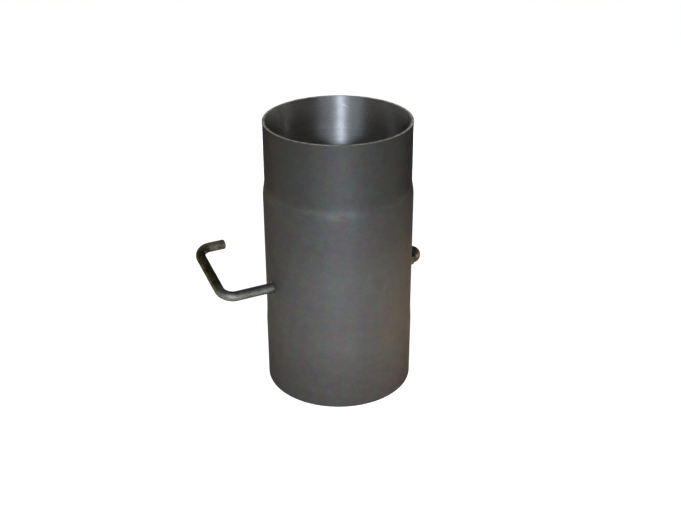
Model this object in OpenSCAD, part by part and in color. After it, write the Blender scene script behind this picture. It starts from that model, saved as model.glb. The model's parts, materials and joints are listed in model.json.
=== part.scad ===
// Stove pipe damper: a short length of flue pipe with a turning throttle blade.
// The pipe stands on its socket end, with its axis on +Z and the origin in the
// middle of the lower rim. The shaft crosses the pipe along X, handle on the -X side.

/* [Pipe] */
// Nominal bore of the flue, which is the bore of the socket at the lower end
flue_d = 130; // [110:5:180]
// Overall length of the pipe
pipe_length = 250; // [240:5:400]
// Thickness of the sheet steel
wall = 2; // [1:0.1:2.5]
// Clearance round the spigot when it sits in the next socket
spigot_play = 0.25; // [0.1:0.05:0.5]
// Straight length of the spigot at the upper end
spigot_length = 52.5; // [35:0.5:65]
// Length of the soft shoulder between the body and the spigot
shoulder_length = 15; // [8:0.5:20]
// Amount by which the body is narrower than the socket, on the radius
socket_step = 0.6; // [0.3:0.1:1]
// Straight length of the socket at the lower end
socket_length = 56; // [40:0.5:60]
// Length over which the socket runs into the body
socket_run_out = 18; // [8:0.5:24]

/* [Shaft] */
// Height of the shaft above the lower rim
shaft_height = 102.9; // [95:0.1:115]
// Diameter of the round bar
rod_d = 9; // [8.5:0.5:11]
// Diameter of the rolled thread, which stands a little proud of the bar
thread_d = 10; // [9.5:0.5:12]
// Turn of the handle and blade at rest, above level
rest_turn = 15.4; // [-90:0.1:90]
// Clearance round the threaded end in the hole on the handle side, where it is pushed through
handle_hole_play = 0.5; // [0.3:0.05:0.8]
// Clearance round the threaded end in the hole on the nut side
thread_hole_play = 0.4; // [0.2:0.05:0.6]
// Length of thread that shows inside the pipe, behind the inner nut
thread_behind_nut = 1.5; // [0.8:0.1:4]
// Bevel on the cut ends of the bar
rod_bevel = 0.9; // [0.4:0.1:1.2]

/* [Handle] */
// Distance from the pipe's side to the centre line of the crank
handle_reach = 45.5; // [35:0.5:60]
// Length of the crank between its two corners
crank_length = 69; // [50:0.5:90]
// Length of the grip from its corner to its end
grip_length = 26.9; // [20:0.1:32]
// Radius of the bends on the bar's centre line
bend_r = 12.2; // [8:0.1:18]

/* [Blade] */
// Gap between the round edge of the blade and the pipe
blade_gap = 1.6; // [1:0.1:3]
// Width of the blade across its two straight sides
blade_width = 90; // [70:1:100]
// Thickness of the blade
blade_t = 2; // [1:0.1:3]
// Room between the end notches of the blade and the nut inside the pipe
notch_room = 1.5; // [0.8:0.1:3]

/* [Saddles] */
// Distance from the end notch of the blade to the middle of a saddle
saddle_inset = 16.3; // [12:0.1:24]
// Width of the saddle strip along the shaft
saddle_w = 20; // [14:0.5:24]
// Thickness of the saddle strip
saddle_t = 2; // [1.5:0.1:3]
// Length of foot beyond the middle of the screw
foot_margin = 7; // [6:0.5:9]
// Room between a screw head and the leg of the saddle
head_room = 1.3; // [0.8:0.1:3]

/* [Saddle screws] */
// Thread diameter of the saddle screws
screw_d = 5; // [4:0.5:6]
// Length of the saddle screws under the head
screw_length = 12; // [12:0.5:16]
// Width across the flats of the screw heads and their nuts
screw_af = 8; // [7:0.5:10]
// Height of the screw heads
screw_head_h = 3.5; // [2.5:0.1:5]
// Height of the nuts on the saddle screws
screw_nut_h = 4; // [3:0.1:4.5]
// Clearance round a saddle screw in the strip and the blade
screw_hole_play = 0.25; // [0.1:0.05:0.5]
// Outside diameter of the saddle lock washers
screw_washer_d = 9.2; // [8.5:0.1:10]
// Thickness of the saddle lock washers
screw_washer_t = 1.2; // [0.8:0.1:1.5]

/* [Shaft nuts and washers] */
// Outside diameter of the two flat washers, inside and outside the pipe
shaft_washer_d = 20; // [16:0.5:24]
// Thickness of the two flat washers
shaft_washer_t = 2; // [1:0.1:3]
// Clearance round the thread in the washers
washer_play = 0.25; // [0.1:0.05:0.4]
// Outside diameter of the spring washer
spring_washer_d = 18; // [15:0.1:20]
// Thickness of the spring washer
spring_washer_t = 2.2; // [1:0.1:3]
// Width of the split in the spring washer
spring_split = 1.6; // [0.8:0.1:3]
// Width across the flats of the inner nut and the cap nut
nut_af = 17; // [15:0.5:19]
// Height of the inner nut
inner_nut_h = 5; // [4:0.1:8]
// Height of the hexagon on the cap nut
cap_hex_h = 8; // [6:0.1:10]
// Height of the cap nut over its dome
cap_nut_h = 17; // [15:0.1:20]
// Diameter of the dome
cap_dome_d = 16; // [14:0.5:17]
// Depth of the blind hole in the cap nut
cap_bore_depth = 11; // [8:0.1:12]
// Gap between the end of the thread and the bottom of the blind hole
cap_end_gap = 1; // [0.5:0.1:3]

/* [Hidden] */
$fn = 120;

// Fits between the pieces
seat_gap = 0.15;    // between a turning washer and the pipe's side
seat_play = 0.05;   // round the bar in its saddles and on the blade
thread_play = 0.03; // between a nut and its thread
overrun = 1;        // every cut runs past its piece by this much
blend_steps = 12;   // straight stretches in each soft change of diameter

// Radii and heights of the pipe
socket_bore_r = flue_d / 2;
body_bore_r = socket_bore_r - socket_step;
body_r = body_bore_r + wall;
spigot_r = flue_d / 2 - spigot_play;
shoulder_top_z = pipe_length - spigot_length;
shoulder_foot_z = shoulder_top_z - shoulder_length;
socket_end_z = socket_length + socket_run_out;

// Radii of the bar and its holes
rod_r = rod_d / 2;
thread_r = thread_d / 2;
handle_hole_r = max(rod_r, thread_r) + handle_hole_play;
thread_hole_r = thread_r + thread_hole_play;

// The stack on the nut side, measured out from the pipe's axis. The rim of the
// inner washer meets the hollow wall, and the outer washer meets its outside.
inner_washer_x = sqrt(pow(body_bore_r, 2) - pow(shaft_washer_d / 2, 2)) - seat_gap - shaft_washer_t;
spring_washer_x = inner_washer_x - spring_washer_t;
inner_nut_x = spring_washer_x - inner_nut_h;
thread_start_x = inner_nut_x - thread_behind_nut;
outer_washer_x = body_r + seat_gap;
cap_nut_x = outer_washer_x + shaft_washer_t;
thread_end_x = cap_nut_x + cap_bore_depth - cap_end_gap;

// The handle
crank_x = body_r + handle_reach;
bend_x = crank_x - bend_r;

// The blade lies on the lower side of the bar
blade_r = body_bore_r - blade_gap;
blade_top = -rod_r - seat_play;
blade_bottom = blade_top - blade_t;
notch_x = thread_start_x - notch_room;
notch_half_w = max(shaft_washer_d / 2, nut_af / 2 / cos(30)) + notch_room;

// The saddles and their screws
arch_r = rod_r + seat_play;
leg_r = arch_r + saddle_t;
screw_corner_r = screw_af / 2 / cos(30);
screw_y = leg_r + head_room + screw_corner_r;
foot_end_y = screw_y + foot_margin;
foot_top = blade_top + saddle_t;
saddle_fillet = saddle_t / 2;
saddle_x = notch_x - saddle_inset;
screw_hole_r = screw_d / 2 + screw_hole_play;
screw_washer_z = blade_bottom - screw_washer_t;
screw_nut_z = screw_washer_z - screw_nut_h;

// Shares of a fastener's own sizes
face_share = 0.95;       // radius of a nut's flat face over half its width across flats
screw_bevel_share = 0.16; // bevel of a screw's end over its diameter
split_lean = 18;         // lean of the split in a spring washer, in degrees
chamfer_angle = 30;      // slope of the chamfer on a nut's corners

// Middles of the four saddle screws, seen along the shaft and across it
screw_places = [
    [-saddle_x, -screw_y], [-saddle_x, screw_y],
    [saddle_x, -screw_y], [saddle_x, screw_y]
];

paint_grey = [0.32, 0.32, 0.31];
bar_grey = [0.42, 0.41, 0.39];
blade_grey = [0.5, 0.5, 0.51];
zinc_grey = [0.68, 0.69, 0.7];

// Shared shapes

// Puts a shape drawn on level axes into the shaft's own turned frame
module on_shaft() {
    translate([0, 0, shaft_height]) rotate([rest_turn, 0, 0]) children();
}

// Lays a shape built up along Z out along the shaft, starting at x
module along_shaft(x) {
    translate([x, 0, 0]) rotate([0, 90, 0]) children();
}

module flat_washer(d, bore_r, t) {
    difference() {
        cylinder(d = d, h = t);
        translate([0, 0, -overrun]) cylinder(r = bore_r, h = t + 2 * overrun);
    }
}

// A ring with a slanting split on one side
module split_washer(d, bore_r, t, split) {
    difference() {
        flat_washer(d, bore_r, t);
        translate([d / 2, 0, t / 2]) rotate([split_lean, 0, 0])
            cube([d, split, t + 2 * (split + overrun)], center = true);
    }
}

// A hexagon bar with its corners turned off at the top, and at the foot of a nut
module hexagon(af, h, both_ends) {
    corner_r = af / 2 / cos(30);
    face_r = face_share * af / 2;
    rise = (corner_r - face_r) * tan(chamfer_angle);
    foot_r = both_ends ? face_r : corner_r;
    foot_rise = both_ends ? rise : 0;
    intersection() {
        linear_extrude(h) circle(r = corner_r, $fn = 6);
        rotate_extrude() polygon(concat(
            [[0, 0], [foot_r, 0]],
            both_ends ? [[corner_r, foot_rise]] : [],
            [[corner_r, h - rise], [face_r, h], [0, h]]
        ));
    }
}

module nut(af, h, bore_r) {
    difference() {
        hexagon(af, h, true);
        translate([0, 0, -overrun]) cylinder(r = bore_r, h = h + 2 * overrun);
    }
}

// A round pin from z = 0 up, bevelled at its upper end
module bevelled_pin(r, h, bevel) {
    rotate_extrude() polygon([[0, 0], [r, 0], [r, h - bevel], [r - bevel, h], [0, h]]);
}

// The pipe

// Points of a soft change of radius from [r0, z0] to [r1, z1]
function soft_step(r0, z0, r1, z1) = [
    for (i = [0 : blend_steps])
        let (t = i / blend_steps)
            [r0 + (r1 - r0) * (1 - cos(180 * t)) / 2, z0 + (z1 - z0) * t]
];

function reversed(points) = [for (i = [len(points) - 1 : -1 : 0]) points[i]];

// One face of the sheet from the socket up to the spigot, set off by the given amount
function sheet_face(off) = concat(
    [[socket_bore_r + off, 0]],
    soft_step(socket_bore_r + off, socket_length, body_bore_r + off, socket_end_z),
    soft_step(body_bore_r + off, shoulder_foot_z, spigot_r - wall + off, shoulder_top_z),
    [[spigot_r - wall + off, pipe_length]]
);

module pipe_body() {
    color(paint_grey) difference() {
        rotate_extrude($fn = 240) polygon(concat(sheet_face(wall), reversed(sheet_face(0))));
        translate([0, 0, shaft_height]) {
            along_shaft(-body_r - overrun) cylinder(r = handle_hole_r, h = body_r);
            along_shaft(overrun) cylinder(r = thread_hole_r, h = body_r);
        }
    }
}

// The bar, bent into its handle

// A quarter turn of the bar round the corner at [-bend_x, y], from angle start
module quarter_bend(y, start) {
    translate([-bend_x, y, 0])
        rotate_extrude(angle = 90, start = start) translate([bend_r, 0]) circle(r = rod_r);
}

// The straight shaft from the first bend, with the rolled thread on its far end
module shaft_length() {
    thread_z = bend_x + thread_start_x;
    end_z = bend_x + thread_end_x;
    along_shaft(-bend_x) rotate_extrude() polygon([
        [0, 0], [rod_r, 0], [rod_r, thread_z], [thread_r, thread_z],
        [thread_r, end_z - rod_bevel], [thread_r - rod_bevel, end_z], [0, end_z]
    ]);
}

module handle_rod() {
    color(bar_grey) on_shaft() {
        shaft_length();
        quarter_bend(bend_r, 180);
        translate([-crank_x, bend_r, 0]) rotate([-90, 0, 0])
            cylinder(r = rod_r, h = crank_length - 2 * bend_r);
        quarter_bend(crank_length - bend_r, 90);
        translate([0, crank_length, 0]) along_shaft(-bend_x)
            bevelled_pin(rod_r, grip_length - bend_r, rod_bevel);
    }
}

// The blade and its saddles

module damper_blade() {
    color(blade_grey) on_shaft() difference() {
        translate([0, 0, blade_bottom]) linear_extrude(blade_t) intersection() {
            circle(r = blade_r, $fn = 240);
            square([2 * blade_r, blade_width], center = true);
        }
        for (side = [-1, 1]) translate([side * (notch_x + blade_r), 0, blade_bottom + blade_t / 2])
            cube([2 * blade_r, 2 * notch_half_w, blade_t + 2 * overrun], center = true);
        for (place = screw_places) translate([place[0], place[1], blade_bottom - overrun])
            cylinder(r = screw_hole_r, h = blade_t + 2 * overrun);
    }
}

// Section of a saddle, seen along the shaft: an arch, two legs and two feet
module saddle_section() {
    difference() {
        union() {
            circle(r = leg_r);
            translate([-leg_r, blade_top]) square([2 * leg_r, -blade_top]);
            translate([-foot_end_y, blade_top]) square([2 * foot_end_y, saddle_t]);
            for (side = [-1, 1]) translate([side * leg_r, foot_top]) difference() {
                translate([-saddle_fillet, -saddle_fillet]) square(2 * saddle_fillet);
                translate([side * saddle_fillet, saddle_fillet]) circle(r = saddle_fillet);
            }
        }
        circle(r = arch_r);
        translate([-arch_r, blade_top - overrun]) square([2 * arch_r, overrun - blade_top]);
        translate([-leg_r - overrun, -leg_r - saddle_t])
            square([2 * (leg_r + overrun), leg_r + saddle_t + blade_top]);
    }
}

module saddle(x) {
    color(zinc_grey) on_shaft() difference() {
        translate([x - saddle_w / 2, 0, 0]) rotate([90, 0, 90])
            linear_extrude(saddle_w) saddle_section();
        for (side = [-1, 1]) translate([x, side * screw_y, blade_top - overrun])
            cylinder(r = screw_hole_r, h = saddle_t + 2 * overrun);
    }
}

// The head sits on the foot of its saddle and the end points down through the blade
module saddle_screw(place) {
    color(zinc_grey) on_shaft() translate([place[0], place[1], foot_top]) {
        hexagon(screw_af, screw_head_h, false);
        mirror([0, 0, 1]) bevelled_pin(screw_d / 2, screw_length, screw_bevel_share * screw_d);
    }
}

module saddle_lock_washer(place) {
    color(zinc_grey) on_shaft() translate([place[0], place[1], screw_washer_z])
        split_washer(screw_washer_d, screw_hole_r, screw_washer_t, screw_washer_t);
}

module saddle_nut(place) {
    color(zinc_grey) on_shaft() translate([place[0], place[1], screw_nut_z])
        nut(screw_af, screw_nut_h, screw_d / 2 + thread_play);
}

// Washers and nuts that hold the shaft on the side away from the handle

module shaft_washer(x) {
    color(zinc_grey) on_shaft() along_shaft(x)
        flat_washer(shaft_washer_d, thread_r + washer_play, shaft_washer_t);
}

module spring_washer() {
    color(zinc_grey) on_shaft() along_shaft(spring_washer_x)
        split_washer(spring_washer_d, thread_r + washer_play, spring_washer_t, spring_split);
}

module inner_nut() {
    color(zinc_grey) on_shaft() along_shaft(inner_nut_x)
        nut(nut_af, inner_nut_h, thread_r + thread_play);
}

// A hexagon with a domed end over a blind hole
module cap_nut() {
    color(bar_grey) on_shaft() along_shaft(cap_nut_x) difference() {
        union() {
            hexagon(nut_af, cap_hex_h, true);
            translate([0, 0, cap_nut_h - cap_dome_d / 2]) sphere(d = cap_dome_d);
        }
        translate([0, 0, -overrun]) cylinder(r = thread_r + thread_play, h = cap_bore_depth + overrun);
    }
}

pipe_body();
handle_rod();
damper_blade();
saddle(-saddle_x);  // handle_side_saddle
saddle(saddle_x);  // nut_side_saddle
saddle_screw(screw_places[0]);  // saddle_screw_1
saddle_screw(screw_places[1]);  // saddle_screw_2
saddle_screw(screw_places[2]);  // saddle_screw_3
saddle_screw(screw_places[3]);  // saddle_screw_4
saddle_lock_washer(screw_places[0]);  // saddle_lock_washer_1
saddle_lock_washer(screw_places[1]);  // saddle_lock_washer_2
saddle_lock_washer(screw_places[2]);  // saddle_lock_washer_3
saddle_lock_washer(screw_places[3]);  // saddle_lock_washer_4
saddle_nut(screw_places[0]);  // saddle_nut_1
saddle_nut(screw_places[1]);  // saddle_nut_2
saddle_nut(screw_places[2]);  // saddle_nut_3
saddle_nut(screw_places[3]);  // saddle_nut_4
inner_nut();
spring_washer();
shaft_washer(inner_washer_x);  // inner_washer
shaft_washer(outer_washer_x);  // outer_washer
cap_nut();
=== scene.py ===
# %% [markdown]
# # A stove pipe damper
#
# A stove pipe damper is a short length of flue pipe with a round plate inside. The plate sits on
# a steel bar that passes through both sides of the pipe, and the bar is bent outside into a
# handle. Turning the handle turns the plate and throttles the smoke.
#
# The solid model comes first, as a fixed frame: every piece here is placed from its sizes. The
# unit is the metre, Z is up, the pipe's axis is the Z axis, and the bar runs along X with its
# handle on the -X side.

# %% Load the frame and keep the size of the solid model
import json
import math

import bmesh
import bpy
from mathutils import Matrix, Vector


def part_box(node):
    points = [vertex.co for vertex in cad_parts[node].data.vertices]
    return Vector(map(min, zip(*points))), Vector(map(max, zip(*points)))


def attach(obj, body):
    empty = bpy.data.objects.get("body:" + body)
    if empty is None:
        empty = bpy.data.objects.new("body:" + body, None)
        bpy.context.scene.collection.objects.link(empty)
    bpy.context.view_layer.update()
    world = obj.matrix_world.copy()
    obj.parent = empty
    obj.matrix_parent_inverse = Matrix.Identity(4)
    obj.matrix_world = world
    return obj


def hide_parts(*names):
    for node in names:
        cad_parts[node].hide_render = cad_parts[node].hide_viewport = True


MM = 0.001
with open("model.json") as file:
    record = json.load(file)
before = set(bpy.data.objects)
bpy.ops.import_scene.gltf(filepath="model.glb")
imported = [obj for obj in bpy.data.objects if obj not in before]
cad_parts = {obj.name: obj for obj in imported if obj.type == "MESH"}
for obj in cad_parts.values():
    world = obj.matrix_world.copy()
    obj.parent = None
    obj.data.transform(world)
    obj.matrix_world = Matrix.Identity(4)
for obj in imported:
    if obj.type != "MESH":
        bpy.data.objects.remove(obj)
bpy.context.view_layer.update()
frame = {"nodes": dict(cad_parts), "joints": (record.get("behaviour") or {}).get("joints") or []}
pipe_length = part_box("pipe_body")[1].z
shaft_height = frame["joints"][0]["pos_m"][2]
rest_turn = math.radians(15.4)
print("pieces in the frame:", len(frame["nodes"]), "pipe length in mm:", round(pipe_length / MM, 1))

# %% [markdown]
# ## The camera
#
# The view is a plain product shot: the photographer stands a metre away, a little above the
# pipe, and looks down into its mouth. The handle points to the left, so the camera stands
# towards -Y and -X. Its direction is written as two angles and a distance, because these can be
# read off the ellipse of the rim and the lean of the two sides.

# %% Make the camera
camera_distance = 0.9257
camera_elevation = math.radians(26.913)
camera_azimuth = math.radians(26.7)
camera_roll = math.radians(-0.221)
aim_height = 0.11955
aim_to_the_right = 0.00179
lens_mm = 53.79
sensor_width_mm = 36


def direction(azimuth, elevation):
    """The way from the pipe to a camera or a lamp."""
    return Vector((
        -math.sin(azimuth) * math.cos(elevation),
        -math.cos(azimuth) * math.cos(elevation),
        math.sin(elevation),
    ))


def facing(aim, way, distance):
    """The matrix of a camera or a lamp that stands at a distance from a point and faces it."""
    return Matrix.Translation(aim + distance * way) @ way.to_track_quat("Z", "Y").to_matrix().to_4x4()


def make_camera():
    to_camera = direction(camera_azimuth, camera_elevation)
    right = Vector((math.cos(camera_azimuth), -math.sin(camera_azimuth), 0))
    aim = Vector((0, 0, aim_height)) + aim_to_the_right * right
    data = bpy.data.cameras.new("camera")
    data.lens = lens_mm
    data.sensor_width = sensor_width_mm
    data.dof.use_dof = False
    camera = bpy.data.objects.new("camera", data)
    roll = Matrix.Rotation(camera_roll, 4, "Z")
    camera.matrix_world = facing(aim, to_camera, camera_distance) @ roll
    bpy.context.scene.collection.objects.link(camera)
    bpy.context.scene.camera = camera
    return to_camera


print("camera direction:", [round(v, 3) for v in make_camera()])

# %% [markdown]
# ## Writing shader maths as plain expressions
#
# A procedural finish is mostly arithmetic on positions and noise. A small class wraps a socket
# and overloads the usual operators, so that a mask can be written as it would be on paper. The
# reflected forms of the operators let a number stand first, as in 1 - mask.

# %% Define the socket class


class Value:
    """The output of a node, which can be added, multiplied and compared like a number."""

    def __init__(self, recipe, socket):
        self.recipe = recipe
        self.socket = socket

    def maths(self, operation, *others):
        inputs = dict(enumerate((self,) + others))
        return self.recipe.node("ShaderNodeMath", {"operation": operation}, inputs)

    def __add__(self, other):
        return self.maths("ADD", other)

    def __sub__(self, other):
        return self.maths("SUBTRACT", other)

    def __mul__(self, other):
        return self.maths("MULTIPLY", other)

    def __truediv__(self, other):
        return self.maths("DIVIDE", other)

    def __gt__(self, other):
        return self.maths("GREATER_THAN", other)

    def __rsub__(self, other):
        return self.recipe.node("ShaderNodeMath", {"operation": "SUBTRACT"}, {0: other, 1: self})

    __radd__ = __add__
    __rmul__ = __mul__

    def absolute(self):
        return self.maths("ABSOLUTE")

    def clipped(self):
        return self.recipe.node("ShaderNodeClamp", {}, {"Value": self})

    def between(self, low, high):
        """0 below low, 1 above high, with a soft step from one to the other."""
        return self.recipe.node(
            "ShaderNodeMapRange", {"interpolation_type": "SMOOTHSTEP"},
            {"Value": self, "From Min": low, "From Max": high},
        )


# %% [markdown]
# A material is then a recipe. Its first method makes any node at all: it takes the node's type,
# its settings and what goes into its sockets. The others are short names for the nodes that the
# finishes use most, such as noise, and noise drawn out into streaks round the pipe. The scale of
# a noise is in waves to the metre, so 160 gives blotches of about 6 mm.

# %% Define the colours and the recipe that holds a material's nodes


def grey(level):
    return (level, level, level, 1)


def colour(red, green, blue):
    return (red, green, blue, 1)


class Recipe:
    """A material and the nodes that it is made of."""

    def __init__(self, name):
        self.material = bpy.data.materials.new(name)
        self.material.use_nodes = True
        self.tree = self.material.node_tree
        self.tree.nodes.clear()

    def node(self, kind, settings, inputs, out=0):
        made = self.tree.nodes.new(kind)
        for key, value in settings.items():
            if key == "stops":
                self.fill_ramp(made.color_ramp, value)
            else:
                setattr(made, key, value)
        for key, value in inputs.items():
            if isinstance(value, Value):
                self.tree.links.new(value.socket, made.inputs[key])
            else:
                made.inputs[key].default_value = value
        return Value(self, made.outputs[out]) if made.outputs else made

    @staticmethod
    def fill_ramp(ramp, stops):
        while len(ramp.elements) < len(stops):
            ramp.elements.new(0.5)
        for element, (place, tone) in zip(ramp.elements, stops):
            element.position = place
            element.color = tone

    def coordinate(self, name="Object"):
        return self.node("ShaderNodeTexCoord", {}, {}, name)

    def axes(self, vector):
        return [self.node("ShaderNodeSeparateXYZ", {}, {0: vector}, axis) for axis in "XYZ"]

    def noise(self, vector, scale, detail=3.0, roughness=0.5, out=0):
        """A soft random pattern: one number at each point, or a colour where out is 1."""
        return self.node(
            "ShaderNodeTexNoise", {},
            {"Vector": vector, "Scale": scale, "Detail": detail, "Roughness": roughness}, out,
        )

    def streaks(self, place, round_scale, height_scale, detail, roughness):
        """Noise that is coarse round the pipe and fine along its height, as drawn metal is."""
        x, y, z = self.axes(place)
        inputs = {0: x * round_scale, 1: y * round_scale, 2: z * height_scale}
        return self.noise(self.node("ShaderNodeCombineXYZ", {}, inputs), 1, detail, roughness)

    def mix(self, share, first, second, blend="MIX"):
        """A colour between two others."""
        return self.node(
            "ShaderNodeMix", {"data_type": "RGBA", "blend_type": blend},
            {0: share, 6: first, 7: second}, 2,
        )

    def toned(self, base, mask, swing):
        """A colour that is darker by a share where the mask is 0, and lighter by it at 1."""
        return self.mix(1.0, base, self.mix(mask, grey(1 - swing), grey(1 + swing)), "MULTIPLY")

    def bump(self, height, strength, distance):
        inputs = {"Strength": strength, "Distance": distance, "Height": height}
        return self.node("ShaderNodeBump", {}, inputs)

    def shader(self, **inputs):
        return self.node(
            "ShaderNodeBsdfPrincipled", {}, {k.replace("_", " "): v for k, v in inputs.items()}
        )

    def mix_shaders(self, share, first, second):
        return self.node("ShaderNodeMixShader", {}, {0: share, 1: first, 2: second})

    def finish(self, shader):
        self.node("ShaderNodeOutputMaterial", {}, {"Surface": shader})
        return self.material


# %% [markdown]
# ## Heat paint
#
# The outside of the pipe has a matt cast-iron-grey paint that stands the heat of a stove. It is
# nearly one colour, and small things make it look real: it darkens towards the spigot, it has a
# faint mottle, and the ridge of the shoulder is rubbed a little shiny, with a painted highlight in
# its colour there. A ramp over the height gives the grey, and it also holds painted shade: darker
# towards the floor and paler at mid height, as the light falls on the pipe. Two fine noises are
# laid over it. It is mixed as a rough dark metal, because the metal dust in such paint gives broad
# soft highlights and no clear gloss.

# %% Mix the heat paint
# The ramp's grey holds painted shade: darker towards the floor and paler at mid height, as the light
# falls on the pipe.
paint_and_shade_levels = [
    (0.000, colour(0.078, 0.073, 0.066)),
    (0.120, colour(0.090, 0.084, 0.076)),
    (0.240, colour(0.105, 0.098, 0.088)),
    (0.400, colour(0.104, 0.098, 0.090)),
    (0.520, colour(0.099, 0.094, 0.086)),
    (0.620, colour(0.085, 0.080, 0.074)),
    (0.735, colour(0.079, 0.076, 0.070)),
    (0.765, colour(0.076, 0.073, 0.067)),
    (0.790, colour(0.061, 0.059, 0.054)),
    (1.000, colour(0.054, 0.052, 0.048)),
]
# A pale grey along the ridge of the shoulder: a painted highlight where the shoulder tilts up to the
# light.
ridge_painted_highlight = colour(0.165, 0.162, 0.156)
ridge_highlight_share = 0.06
spigot_foot = (188 * MM, 199 * MM)
ridge_rise = (183 * MM, 189 * MM)
ridge_fall = (191 * MM, 194.5 * MM)
cloud_scale = 110
cloud_share = 0.26
fleck_scale = 560
fleck_share = 0.28
drawn_scales = (12, 330)
drawn_swing = 0.02
rub_and_highlight_scales = (50, 260)
print("paint levels over the height:", len(paint_and_shade_levels))


def heat_paint(r, place, mottle, grain):
    z = r.axes(place)[2]
    # This ramp gives the paint's grey together with the painted shade over the height.
    level = r.node("ShaderNodeValToRGB", {"stops": paint_and_shade_levels}, {0: z / pipe_length})
    cloudy = r.mix(cloud_share, level, r.noise(place, cloud_scale, 3, 0.6, 1), "OVERLAY")
    flecked = r.mix(fleck_share, cloudy, r.noise(place, fleck_scale, 2, 0.7, 1), "OVERLAY")
    drawn = r.streaks(place, *drawn_scales, 3, 0.6).between(0.3, 0.7)
    on_spigot = z.between(*spigot_foot)
    ridge = z.between(*ridge_rise) * (1 - z.between(*ridge_fall))
    # The ridge mask makes the paint smoother there and mixes in the pale painted highlight colour.
    pale_painted_light = ridge * r.streaks(place, *rub_and_highlight_scales, 3, 0.65).between(0.35, 0.65)
    return r.shader(
        Base_Color=r.mix(pale_painted_light * ridge_highlight_share, r.toned(flecked, drawn, drawn_swing), ridge_painted_highlight),
        Metallic=1.0,
        Roughness=0.57 + mottle * 0.08 - on_spigot * 0.06 - pale_painted_light * 0.11,
        Specular_Tint=grey(0.28),
        Normal=r.bump(mottle * 0.6 + grain * 0.4, 0.25, 0.2 * MM),
    )


# %% [markdown]
# ## Bare steel inside
#
# The inside of the pipe is plain rolled steel. The rolls leave fine lines that run round the
# pipe, and such lines stretch each reflection across themselves. So a lamp becomes the upright
# bright streak that shows through the mouth. No line has to be modelled for this: anisotropy
# stretches the highlight, and a quarter turn of its direction makes the streak stand upright. A
# short pale scratch high on the far wall is one more mask: a thin sloping band round one point.

# %% Mix the bare steel
steel_dark = colour(0.40, 0.387, 0.368)
steel_light = colour(0.53, 0.510, 0.484)
steel_scratched = grey(0.8)
steel_cloud_scale = 30
steel_speck_scale = 420
steel_speck_swing = 0.12
steel_line_scales = (6, 900)
scratch_x = 34 * MM
scratch_y = 52.7 * MM
scratch_z = 241 * MM
scratch_along_x = 0.84
scratch_along_y = -0.54
scratch_slope = 0.45
scratch_share = 0.6
scratch_side = (0.4 * MM, 1.1 * MM)
scratch_end = (1 * MM, 5 * MM)
print("height of the scratch in mm:", round(scratch_z / MM))


def scratch_mask(r, place):
    x, y, z = r.axes(place)
    along = (x - scratch_x) * scratch_along_x + (y - scratch_y) * scratch_along_y
    off_line = (z - scratch_z + along * scratch_slope).absolute()
    on_line = 1 - off_line.between(*scratch_side)
    return (y > 0.0) * on_line * (1 - along.absolute().between(*scratch_end))


def bare_steel(r, place):
    lines = r.streaks(place, *steel_line_scales, 4, 0.7)
    cloud = r.noise(place, steel_cloud_scale, 3, 0.55).between(0.3, 0.7)
    speck = (lines * 0.5 + r.noise(place, steel_speck_scale, 3, 0.7) * 0.5).between(0.35, 0.65)
    brushed = r.toned(r.mix(cloud, steel_dark, steel_light), speck, steel_speck_swing)
    return r.shader(
        Base_Color=r.mix(scratch_mask(r, place) * scratch_share, brushed, steel_scratched),
        Metallic=1.0,
        Roughness=0.47 + lines * 0.08,
        Anisotropic=1.0,
        Anisotropic_Rotation=0.25,
        Specular_Tint=grey(0.38),
        Normal=r.bump(lines, 0.2, 0.05 * MM),
    )


# %% [markdown]
# ## The cut rims
#
# The two rims are the cut edges of the sheet. Handling has worn the paint off them, in some
# places more than in others, and they show as a thin pale line round the mouth. Their palest
# patches are near white: bare steel with painted glints in its colour. Paint, bare steel and rim
# are all on one sheet, so one material holds the three. The surface's own direction tells them
# apart: a rim faces up or down, the paint faces away from the pipe's axis.

# %% Mix the rims and give the pipe its finish
mottle_scale = 160
grain_scale = 1400
rim_dull = colour(0.46, 0.44, 0.38)
# The near-white tone is partly bare cut steel and partly painted glints.
rim_bright_and_glint = colour(0.98, 0.95, 0.87)


def cut_rim(r, mottle, grain):
    return r.shader(
        Base_Color=r.mix(mottle.between(0.35, 0.65), rim_dull, rim_bright_and_glint),
        Metallic=1.0,
        Roughness=0.38 + grain * 0.15,
        Specular_Tint=grey(0.5),
        Normal=r.bump(grain, 0.3, 0.1 * MM),
    )


def pipe_finish():
    r = Recipe("pipe_finish")
    place = r.coordinate()
    x, y = r.axes(place)[:2]
    nx, ny, nz = r.axes(r.coordinate("Normal"))
    faces_out = (x * nx + y * ny) > 0.0
    on_rim = (nz * nz).between(0.8, 0.95)
    mottle = r.noise(place, mottle_scale, 5, 0.6)
    grain = r.noise(place, grain_scale, 3, 0.6)
    sides = r.mix_shaders(faces_out, bare_steel(r, place), heat_paint(r, place, mottle, grain))
    return r.finish(r.mix_shaders(on_rim, sides, cut_rim(r, mottle, grain)))


def give(material, *names):
    for name in names:
        mesh = frame["nodes"][name].data
        mesh.materials.clear()
        mesh.materials.append(material)


give(pipe_finish(), "pipe_body")
print("nodes in the pipe's finish:", len(bpy.data.materials["pipe_finish"].node_tree.nodes))

# %% [markdown]
# ## Blade and fastenings
#
# The blade is bare sheet. The screws, nuts, washers and saddles inside are zinc plated, and the
# cap nut and washer outside are plain steel that heat and handling have turned dark brown. All
# three are the same recipe: patches from a darker to a lighter tone, and a fine grain that
# roughens them. Only the tones, the size of the patches and the shine differ, so one helper
# mixes them all.

# %% Mix the steel finishes and give them to the blade and the fastenings


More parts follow.
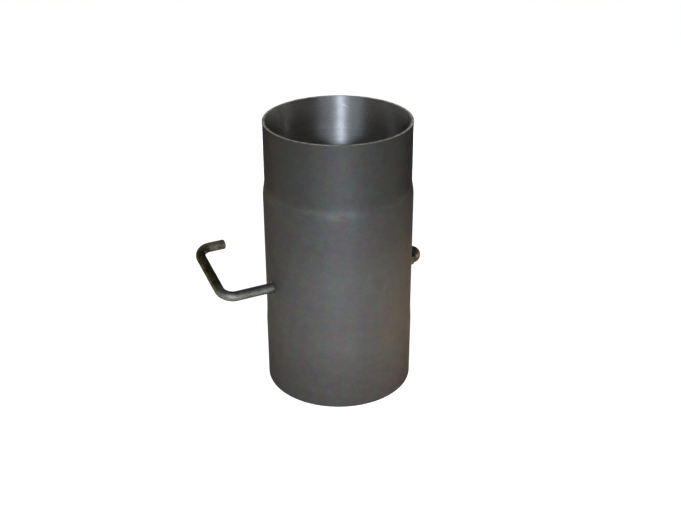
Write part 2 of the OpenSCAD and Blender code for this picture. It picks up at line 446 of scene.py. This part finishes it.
def patchy_steel(name, dark, light, patch_scale, patch_edge, grain_scale, shine, tint=1.0):
    """Metal in two tones. patch_edge is half the width of the soft step between them."""
    base_roughness, roughness_swing = shine
    r = Recipe(name)
    place = r.coordinate()
    grain = r.noise(place, grain_scale, 4, 0.6)
    patches = r.noise(place, patch_scale, 3, 0.6)
    return r.finish(r.shader(
        Base_Color=r.mix(patches.between(0.5 - patch_edge, 0.5 + patch_edge), dark, light),
        Metallic=1.0,
        Roughness=base_roughness + grain * roughness_swing,
        Specular_Tint=grey(tint),
        Normal=r.bump(grain, 0.2, 0.05 * MM),
    ))


sheet_steel = patchy_steel(
    "sheet_finish", colour(0.354, 0.336, 0.313), colour(0.484, 0.460, 0.431),
    patch_scale=40, patch_edge=0.2, grain_scale=600, shine=(0.40, 0.12),
)
zinc = patchy_steel(
    "zinc_finish", colour(0.283, 0.283, 0.260), colour(0.42, 0.42, 0.40),
    patch_scale=150, patch_edge=0.2, grain_scale=900, shine=(0.36, 0.15),
)
dark_steel = patchy_steel(
    "dark_finish", colour(0.053, 0.045, 0.028), colour(0.124, 0.109, 0.080),
    patch_scale=220, patch_edge=0.15, grain_scale=900, shine=(0.34, 0.15), tint=0.4,
)
dark_pieces = ["outer_washer", "cap_nut"]
zinc_pieces = [
    name for name in frame["nodes"]
    if name not in dark_pieces
    and (name.startswith("saddle_") or name.endswith(("_saddle", "_washer", "_nut")))
]
give(sheet_steel, "damper_blade")
give(zinc, *zinc_pieces)
give(dark_steel, *dark_pieces)
print("zinc plated pieces:", len(zinc_pieces), "dark pieces:", len(dark_pieces))

# %% [markdown]
# ## Worn edges
#
# The solid model has edges as sharp as its maths, and a sharp edge catches no light. A bevel of a
# fraction of a millimetre gives each rim and nut the thin bright line that real metal has. It is
# a modifier, so the solid's own mesh stays as it is.

# %% Round the sharp edges a little
sheet_bevel = 0.15 * MM
fastening_bevel = 0.2 * MM
bevel_from_angle = math.radians(35)


def soften(width, *names):
    for name in names:
        bevel = frame["nodes"][name].modifiers.new("soft_edges", "BEVEL")
        bevel.width = width
        bevel.segments = 2
        bevel.limit_method = "ANGLE"
        bevel.angle_limit = bevel_from_angle
        bevel.harden_normals = True


soften(sheet_bevel, "pipe_body", "damper_blade")
soften(fastening_bevel, *zinc_pieces, *dark_pieces)
print("pieces with softened edges:", 2 + len(zinc_pieces) + len(dark_pieces))

# %% [markdown]
# ## A bar made of rings
#
# The handle is one round bar: rolled to a thread at one end, bent twice and cut off at the other.
# A bar like this is easiest to build as a row of rings along its path, each ring joined to the
# next. A thread is then only a ring whose radius changes with the angle, and the same few lines
# also make a hexagon head, whose radius changes with the angle too.

# %% Define rings and join them into a mesh
ring_points = 48
sharp_angle = math.radians(34)


def ring(centre, side, up, radius):
    """Points round a centre. radius is a length, or a function of the angle."""
    points = []
    for i in range(ring_points):
        angle = 2 * math.pi * i / ring_points
        reach = radius(angle) if callable(radius) else radius
        points.append(centre + reach * (math.cos(angle) * side + math.sin(angle) * up))
    return points


def join_rings(name, rings, body, turned, replaced, material):
    """A closed piece from a row of rings, placed in the turned frame of the shaft."""
    shape = bmesh.new()
    rows = [[shape.verts.new(turned @ point) for point in points] for points in rings]
    for before, after in zip(rows, rows[1:]):
        for i in range(ring_points):
            j = (i + 1) % ring_points
            shape.faces.new((before[i], before[j], after[j], after[i]))
    shape.faces.new(reversed(rows[0]))
    shape.faces.new(rows[-1])
    bmesh.ops.recalc_face_normals(shape, faces=shape.faces)
    data = bpy.data.meshes.new(name)
    shape.to_mesh(data)
    shape.free()
    for face in data.polygons:
        face.use_smooth = True
    data.set_sharp_from_angle(angle=sharp_angle)
    data.materials.append(material)
    piece = bpy.data.objects.new(name, data)
    bpy.context.scene.collection.objects.link(piece)
    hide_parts(*replaced)
    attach(piece, body)
    print(name, "rings:", len(rings), "faces:", len(data.polygons))


# %% [markdown]
# A thread is a groove with sloping sides. Along the bar its depth goes up and down once per
# pitch, and one turn round the bar moves that wave on by one pitch, which makes it a helix. The
# end of a bar is rounded the same way, by rings that shrink along a quarter of a circle.

# %% Define the thread's radius and the rounded end
thread_depth_share = 0.61
groove_peak = 1.25
groove_slope = 2.875


def thread_radius(outside, pitch, place, fade=1.0):
    """The radius at a place along a threaded bar, as a function of the angle."""
    depth = thread_depth_share * pitch * fade

    def reach(angle):
        phase = (place / pitch + angle / (2 * math.pi)) % 1.0
        groove = min(1.0, max(0.0, groove_peak - groove_slope * abs(phase - 0.5)))
        return outside - depth * groove

    return reach


def rounded_end(radius, bevel, steps=5):
    """Distances back from the end of a bar and the radius there, for a rounded edge."""
    turns = [math.pi / 2 * i / steps for i in range(steps + 1)]
    return [(bevel * (1 - math.sin(t)), radius - bevel * (1 - math.cos(t))) for t in turns]


# %% [markdown]
# ## The steel of the bar
#
# The bar is drawn steel that use has coloured along its length. Inside the pipe it is bright.
# Outside it is dull, and paler near the wall: painted light against the shade that falls on the
# bar there. The crank is painted dark, as painted shade for a bar that turns away and mirrors
# little light, and the grip is a warm brown. Each zone is a mask on the distance along the shaft
# or along the crank. The noise that makes the patches also shifts the ends of the dark crank zone,
# so that they are ragged.

# %% Mix the bar's finish
zone_edge_inside = (-62 * MM, -56 * MM)
zone_edge_painted_light = (-82 * MM, -68 * MM)
zone_crank_start = (9 * MM, 24 * MM)
zone_crank_end = (64 * MM, 76 * MM)
grip_from = 40 * MM
zone_wander = 8 * MM
bar_grain_scale = 700
bar_patch_scale = 130


def bar_finish():
    r = Recipe("bar_finish")
    place = r.coordinate()
    x, y, z = r.axes(place)
    grain = r.noise(place, bar_grain_scale, 4, 0.6)
    patches = r.noise(place, bar_patch_scale, 3, 0.6)
    tone = (patches * 0.5 + grain * 0.5).between(0.38, 0.62)
    dull = r.mix(tone, colour(0.112, 0.107, 0.090), colour(0.200, 0.190, 0.160))
    # A paler tone near the wall: painted light against the shade that falls on the bar there.
    pale_painted_light = r.mix(tone, colour(0.185, 0.177, 0.160), colour(0.300, 0.288, 0.260))
    bright = r.mix(tone, colour(0.425, 0.413, 0.389), colour(0.590, 0.572, 0.543))
    # Dark tones on the crank: painted shade, for a bar that turns away and mirrors little light.
    crank_painted_shade = r.mix(tone, colour(0.024, 0.023, 0.013), colour(0.105, 0.101, 0.058))
    grip = r.mix(tone, colour(0.270, 0.215, 0.165), colour(0.420, 0.345, 0.270))
    level = y * math.cos(rest_turn) + (z - shaft_height) * math.sin(rest_turn)
    along = level + patches * zone_wander
    on_crank = along.between(*zone_crank_start) * (1 - along.between(*zone_crank_end))
    near_wall = r.mix(x.between(*zone_edge_painted_light), dull, pale_painted_light)
    outside = r.mix(on_crank, r.mix(along > grip_from, near_wall, grip), crank_painted_shade)
    return r.finish(r.shader(
        Base_Color=r.mix(x.between(*zone_edge_inside), outside, bright),
        Metallic=1.0,
        Roughness=0.40 + patches * 0.14,
        Specular_Tint=grey(0.4),
        Normal=r.bump(grain, 0.25, 0.1 * MM),
    ))


bar_steel = bar_finish()
print("nodes in the bar's finish:", len(bar_steel.node_tree.nodes))

# %% [markdown]
# ## The bent handle bar
#
# The path is drawn in the shaft's own level frame: X along the shaft and Y along the crank. It is
# then turned about the shaft to the angle at which the handle rests. The bar gets a little flat in
# its two bends, as bar does on a bending pin.

# %% Name the bar's sizes
rod_r = 4.5 * MM
thread_r = 5.0 * MM
thread_pitch = 1.5 * MM
thread_bevel = 0.9 * MM
thread_behind_nut = 1.5 * MM
bend_r = 12.2 * MM
bend_flat_share = 0.025
crank_length = 69 * MM
grip_length = 26.9 * MM
grip_bevel = 1.3 * MM
rings_per_turn = 10
shaft_rings = 24
rod_low, rod_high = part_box("handle_rod")
thread_end_x = rod_high.x
thread_start_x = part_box("inner_nut")[0].x - thread_behind_nut
bend_x = -rod_low.x - rod_r - bend_r
upright = Vector((0, 0, 1))
turned_frame = Matrix.Translation((0, 0, shaft_height)) @ Matrix.Rotation(rest_turn, 4, "X")
print("length of the thread in mm:", round((thread_end_x - thread_start_x) / MM, 1))

# %% [markdown]
# The rings start at the threaded end. They run through the thread, where ten of them go to a
# turn, along the plain shaft, round the first bend, down the crank, round the second bend, and
# along the grip to its rounded end. The straight stretches of the crank and the grip need no
# rings of their own, because each lies between two rings that are there already.

# %% Lay the rings along the bar and make it


def straight_ring(x, y, heading, radius):
    side = heading.cross(upright)
    return ring(Vector((x, y, 0)), side, upright, radius)


def bent_rings(centre_y, first, last, steps=18):
    """Rings round one bend, from one angle to another, in degrees."""
    made = []
    for i in range(steps + 1):
        angle = math.radians(first + (last - first) * i / steps)
        flat = 1 - bend_flat_share * math.sin(math.pi * i / steps)
        heading = Vector((math.sin(angle), -math.cos(angle), 0))
        centre = Vector((-bend_x + bend_r * math.cos(angle), centre_y + bend_r * math.sin(angle), 0))
        made.append(ring(centre, heading.cross(upright) * flat, upright / flat ** 0.5, rod_r))
    return made


def thread_rings(heading):
    """Rings from the bevelled end of the thread to the step where the plain bar starts."""
    thread_length = thread_end_x - thread_start_x
    steps = int(thread_length / thread_pitch * rings_per_turn)
    rows = []
    for i in range(steps + 1):
        x = thread_end_x - thread_length * i / steps
        bevel = max(0.0, thread_bevel - (thread_end_x - x))
        fade = min(1.0, (x - thread_start_x) / thread_pitch)
        cut = thread_radius(thread_r, thread_pitch, x, fade)
        rows.append(straight_ring(x, 0, heading, lambda a, c=cut, b=bevel: min(c(a), thread_r - b)))
    return rows


def bar_rings():
    to_handle = Vector((-1, 0, 0))
    rows = thread_rings(to_handle)
    rows.append(straight_ring(thread_start_x, 0, to_handle, thread_r))
    rows.append(straight_ring(thread_start_x, 0, to_handle, rod_r))
    for i in range(1, shaft_rings):
        x = thread_start_x - (thread_start_x + bend_x) * i / shaft_rings
        rows.append(straight_ring(x, 0, to_handle, rod_r))
    rows += bent_rings(bend_r, -90, -180)
    rows += bent_rings(crank_length - bend_r, 180, 90)
    back = Vector((1, 0, 0))
    grip_end = -bend_x + grip_length - bend_r
    for gap, radius in rounded_end(rod_r, grip_bevel):
        rows.append(straight_ring(grip_end - gap, crank_length, back, radius))
    return rows


join_rings(
    "handle_bar", bar_rings(), "damper", turned_frame, ["handle_rod"], bar_steel
)

# %% [markdown]
# ## The saddle screws
#
# Each screw is made from the same rings: a hexagon head whose corners are taken off by a cone, a
# short plain neck, and a thread to its bevelled end.

# %% Make the four saddle screws
screw_r = 2.5 * MM
screw_pitch = 0.8 * MM
screw_length = 12 * MM
screw_bevel = 0.32 * screw_r
screw_rings_per_turn = 8
screw_head = 3.5 * MM
screw_flats = 8 * MM
head_face_share = 0.95
head_cone_angle = math.radians(30)
head_cone_rings = 6
foot_top = -2.55 * MM
screw_y = 12.47 * MM


def hexagon_radius(flats, cone):
    """The radius of a hexagon bar at an angle, and never more than the cone that chamfers it."""
    sixth = math.pi / 3
    return lambda angle: min(flats / 2 / math.cos(angle % sixth - sixth / 2), cone)


def head_rings(middle, side, forth, down):
    corner = screw_flats / 2 / math.cos(math.pi / 6)
    face = head_face_share * screw_flats / 2
    rise = (corner - face) * math.tan(head_cone_angle)
    rows = []
    for i in range(head_cone_rings + 1):
        drop = rise * i / head_cone_rings
        cone = face + (corner - face) * i / head_cone_rings
        centre = middle - down * (screw_head - drop)
        rows.append(ring(centre, side, forth, hexagon_radius(screw_flats, cone)))
    rows.append(ring(middle, side, forth, hexagon_radius(screw_flats, corner)))
    return rows


def screw_rings(x, y):
    side, forth, down = Vector((1, 0, 0)), Vector((0, 1, 0)), Vector((0, 0, -1))
    middle = Vector((x, y, foot_top))
    rows = head_rings(middle, side, forth, down)
    steps = int(screw_length / screw_pitch * screw_rings_per_turn)
    for i in range(steps + 1):
        depth = screw_length * i / steps
        bevel = max(0.0, depth - (screw_length - screw_bevel))
        fade = min(1.0, max(0.0, depth / screw_pitch - 1))
        cut = thread_radius(screw_r, screw_pitch, depth, fade)
        centre = middle + down * depth
        rows.append(ring(centre, side, forth, lambda a, c=cut, b=bevel: min(c(a), screw_r - b)))
    return rows


for number, side_y in zip((1, 2, 3, 4), (-screw_y, screw_y, -screw_y, screw_y)):
    node_name = f"saddle_screw_{number}"
    low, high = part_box(node_name)
    middle_x = (low.x + high.x) / 2
    join_rings(
        f"threaded_screw_{number}", screw_rings(middle_x, side_y), "damper", turned_frame,
        [node_name], zinc
    )

# %% [markdown]
# ## The floor
#
# The object stands on plain white. A white floor alone would turn grey away from the lamps, and
# more light on it would also be more light on the pipe. So the paper glows, but only for rays
# that come from the camera or from a mirror or glass: Light Path tells them apart, and the light
# that falls on the object stays as it is. A low wall round the floor hides the horizon from a
# camera that stands low.

# %% Build the floor
floor_size = 12.0
wall_height = 1.7
paper_white = 0.8
paper_glow = 0.88


def make_floor():
    data = bpy.data.meshes.new("floor")
    half = floor_size / 2
    around = [(-half, -half), (half, -half), (half, half), (-half, half)]
    corners = [(x, y, z) for z in (0, wall_height) for x, y in around]
    walls = [(i, (i + 1) % 4, (i + 1) % 4 + 4, i + 4) for i in range(4)]
    data.from_pydata(corners, [], [(0, 1, 2, 3)] + walls)
    floor = bpy.data.objects.new("floor", data)
    bpy.context.scene.collection.objects.link(floor)
    r = Recipe("floor_paper")
    straight = r.node("ShaderNodeLightPath", {}, {}, "Is Camera Ray")
    glossy = r.node("ShaderNodeLightPath", {}, {}, "Is Glossy Ray")
    through = r.node("ShaderNodeLightPath", {}, {}, "Is Transmission Ray")
    seen = (straight + glossy + through).clipped()
    paper = r.node("ShaderNodeBsdfDiffuse", {}, {"Color": grey(paper_white)})
    glow = r.node("ShaderNodeEmission", {}, {"Color": grey(1), "Strength": seen * paper_glow})
    data.materials.append(r.finish(r.node("ShaderNodeAddShader", {}, {0: paper, 1: glow})))
    print("floor and walls, faces:", len(data.polygons))


make_floor()

# %% [markdown]
# ## The light of the room
#
# A weak even light from all sides stands for the white walls of a room. It keeps the shadows from
# going black, and the lamps do the rest.

# %% Set the world's light
room_level = 0.14


def make_world():
    world = bpy.data.worlds.new("world")
    bpy.context.scene.world = world
    world.use_nodes = True
    background = world.node_tree.nodes["Background"]
    background.inputs["Color"].default_value = grey(1)
    background.inputs["Strength"].default_value = room_level
    print("level of the room's light:", room_level)


make_world()

# %% [markdown]
# ## The lamps
#
# A round pipe shows each lamp as an upright band, so each lamp was placed by the band that it
# makes. Low ones in front give the broad light on the paint. A small flash beside the camera
# makes the bright streak inside, and a wide strip next to it makes the soft light on both sides
# of that streak. One lamp overhead lights the shoulder. Weak warm ones to the right and the left
# turn the edges of the pipe brown. One stands behind, so that the back is lit too, and a weak one
# high behind the pipe catches the flat rim. Each lamp's turn is counted from the camera to the
# right, so that the list reads like a plan of the studio.

# %% Place the lamps
cool = (0.84, 0.98, 1.18)
warm = (1.45, 0.95, 0.42)
amber = (1.5, 0.9, 0.3)
pale = (1.0, 0.98, 0.92)


def make_lamp(name, turn, elevation, distance, height, size, power, tint, spread=180):
    """An area lamp that faces the pipe's axis at a height. Its three angles are in degrees."""
    data = bpy.data.lights.new(name, "AREA")
    data.shape = "RECTANGLE"
    data.size, data.size_y = size
    data.energy = power
    data.color = tint
    data.spread = math.radians(spread)
    lamp = bpy.data.objects.new(name, data)
    lamp.visible_camera = False
    way = direction(camera_azimuth - math.radians(turn), math.radians(elevation))
    lamp.matrix_world = facing(Vector((0, 0, height)), way, distance)
    bpy.context.scene.collection.objects.link(lamp)


make_lamp("low_front", 4, -4, 0.6, 0.11, (0.3, 0.1), 0.73, cool)
make_lamp("low_front_wide", 0, -4, 0.6, 0.11, (0.7, 0.1), 0.27, cool)
make_lamp("flash", -5, 18.6, 0.95, 0.25, (0.06, 0.04), 2.52, cool)
make_lamp("flash_wide", -4, 18.6, 0.95, 0.25, (1.35, 0.04), 3.14, cool)
make_lamp("above", 0, 66, 1.2, 0.25, (0.1, 0.3), 1.15, cool)
make_lamp("right_front", 80, 0, 0.6, 0.0, (0.4, 0.08), 0.09, warm, 36)
make_lamp("right_back", 122, 0, 0.5, 0.0, (0.3, 0.05), 0.11, warm, 44)
make_lamp("right_high", 112, 4, 0.7, 0.2, (0.3, 0.2), 0.12, amber)
make_lamp("left_back", -112, 2, 0.7, 0.08, (0.3, 0.2), 0.24, warm)
make_lamp("back", 180, -3, 0.7, 0.11, (0.5, 0.1), 0.77, cool)
make_lamp("back_high", 178, 24, 1.2, 0.2, (0.3, 0.15), 0.16, pale)
bpy.context.scene.view_settings.view_transform = "Standard"
print("lamps:", len(bpy.data.lights))
